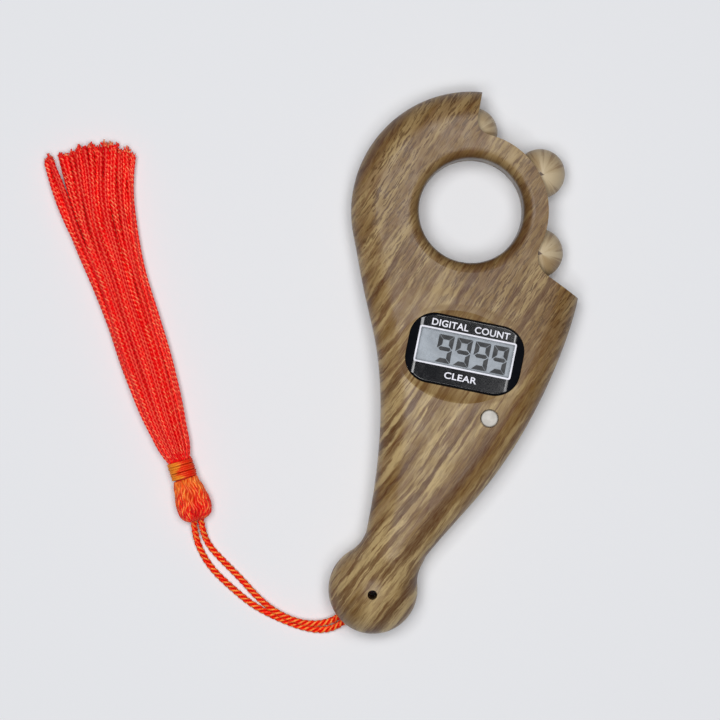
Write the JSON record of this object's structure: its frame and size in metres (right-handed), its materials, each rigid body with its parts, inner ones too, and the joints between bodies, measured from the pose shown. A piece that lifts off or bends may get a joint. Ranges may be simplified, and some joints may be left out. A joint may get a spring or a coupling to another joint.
{
  "type": "hand tally counter",
  "caption": "Ring-shaped electronic hand counter worn on a finger, counted by turning a wheel of beads with the thumb, with a display, a reset button and a tassel.",
  "frame": {"origin": "on the surface that the counter lies on, under the middle of its plan, without the cord and tassel", "axes": "+Z out of the display, +Y from the bulb at the lanyard end towards the finger ring, +X to the right of the display's reader"},
  "size_m": [0.1216, 0.125, 0.0185],
  "materials": {
    "wood_film": "moulded ABS under a semi-gloss wood-grain transfer film",
    "bead_film": "moulded ABS under a semi-gloss wood-grain transfer film",
    "bezel_gloss": "black gloss moulding",
    "clear_window": "clear acrylic",
    "lcd_glass": "grey reflective display cell",
    "reflector_film": "satin film",
    "zebra_rubber": "layered conductive rubber",
    "circuit_board": "green solder resist",
    "component_black": "moulded packages",
    "resin_black": "cured epoxy",
    "button_cream": "satin",
    "switch_stem": "satin",
    "switch_case": "satin",
    "battery_steel": "nickel-plated can",
    "contact_metal": "nickel-washed spring bronze",
    "carrier_plastic": "self-lubricating black-brown plastic",
    "steel_pin": "ground pins",
    "screw_steel": "zinc plated",
    "cord_red": "twisted rayon cord, red with gold lights",
    "tassel_thread": "silky rayon threads",
    "tassel_wrap_thread": "close-wound rayon thread"
  },
  "bodies": {
    "counter_case": {"front_shell": "wood_film", "rear_shell": "wood_film", "display_bezel": "bezel_gloss", "display_lens": "clear_window", "lcd_cell": "lcd_glass", "lcd_reflector": "reflector_film", "zebra_strips": "zebra_rubber", "main_board": "circuit_board", "board_components": "component_black", "controller_blob": "resin_black", "reset_switch": "switch_case", "battery_cell": "battery_steel", "battery_contact_negative": "contact_metal", "battery_contact_positive": "contact_metal", "click_leaf": "contact_metal", "count_contact": "contact_metal", "shell_screws": "screw_steel", "cord_strand_a": "cord_red", "cord_strand_b": "cord_red", "cord_knot": "cord_red", "tassel_head": "tassel_thread", "tassel_wrap": "tassel_wrap_thread", "tassel_skirt": "tassel_thread"},
    "bead_wheel": {"bead_carrier": "carrier_plastic", "bead_1": "bead_film", "bead_2": "bead_film", "bead_3": "bead_film", "bead_4": "bead_film", "bead_5": "bead_film", "bead_6": "bead_film", "bead_pins": "steel_pin"},
    "reset_key": {"reset_button": "button_cream", "switch_plunger": "switch_stem"},
    "battery_cover": {"battery_door": "wood_film"}
  },
  "joints": [
    {"name": "bead_wheel_spin", "type": "hinge", "parent": "counter_case", "child": "bead_wheel", "pos_m": [-0.00033, 0.03472, 0.0082], "axis": [0, 0, 1], "continuous": true, "deforming": ["click_leaf"]},
    {"name": "reset_press", "type": "slide", "parent": "counter_case", "child": "reset_key", "axis": [0, 0, -1], "range_m": [0, 0.0004], "stiffness_N_per_m": 1500, "springref_m": -0.0001},
    {"name": "battery_door_turn", "type": "hinge", "parent": "counter_case", "child": "battery_cover", "pos_m": [0.00367, -0.01727, 0.0009], "axis": [0, 0, -1], "range_deg": [0, 55]}
  ]
}
